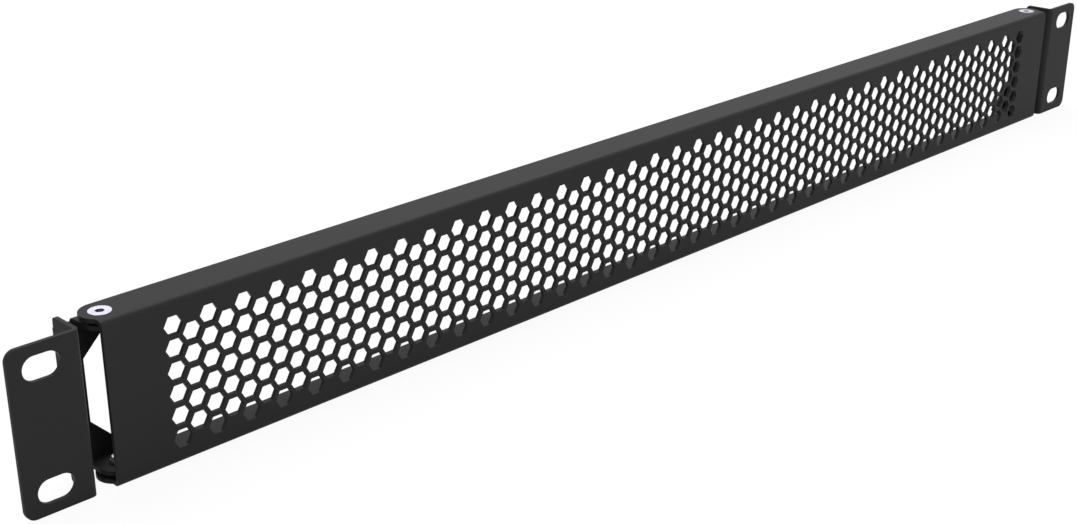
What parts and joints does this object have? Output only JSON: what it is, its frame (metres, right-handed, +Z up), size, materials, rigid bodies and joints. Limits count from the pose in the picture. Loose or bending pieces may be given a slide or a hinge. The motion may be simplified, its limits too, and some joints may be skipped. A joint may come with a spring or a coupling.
{
  "type": "hinged vented rack blanking panel",
  "caption": "Long folded steel channel with a field of hexagonal vents, hung at each end on a slotted ear bracket by countersunk pivot screws.",
  "frame": {"origin": "centre of the four rack slots, on the plane of the ears' rear faces, where they bear on the rack rails", "axes": "+X along the panel to the right as seen from the front, +Y back into the rack, +Z up"},
  "size_m": [0.4826, 0.013, 0.044],
  "materials": {
    "powder_coat": "satin",
    "zinc_plate": "satin"
  },
  "bodies": {
    "panel": {"panel": "powder_coat"},
    "left_bracket": {"left_bracket": "powder_coat", "upper_left_screw": "zinc_plate", "lower_left_screw": "zinc_plate"},
    "right_bracket": {"right_bracket": "powder_coat", "upper_right_screw": "zinc_plate", "lower_right_screw": "zinc_plate"}
  },
  "joints": [
    {"name": "left_hinge", "type": "hinge", "parent": "panel", "child": "left_bracket", "pos_m": [-0.21315, 0.00495, 0], "axis": [0, 0, 1], "range_deg": [-60, 95]},
    {"name": "right_hinge", "type": "hinge", "parent": "panel", "child": "right_bracket", "pos_m": [0.21315, 0.00495, 0], "axis": [0, 0, -1], "range_deg": [-60, 95]}
  ]
}
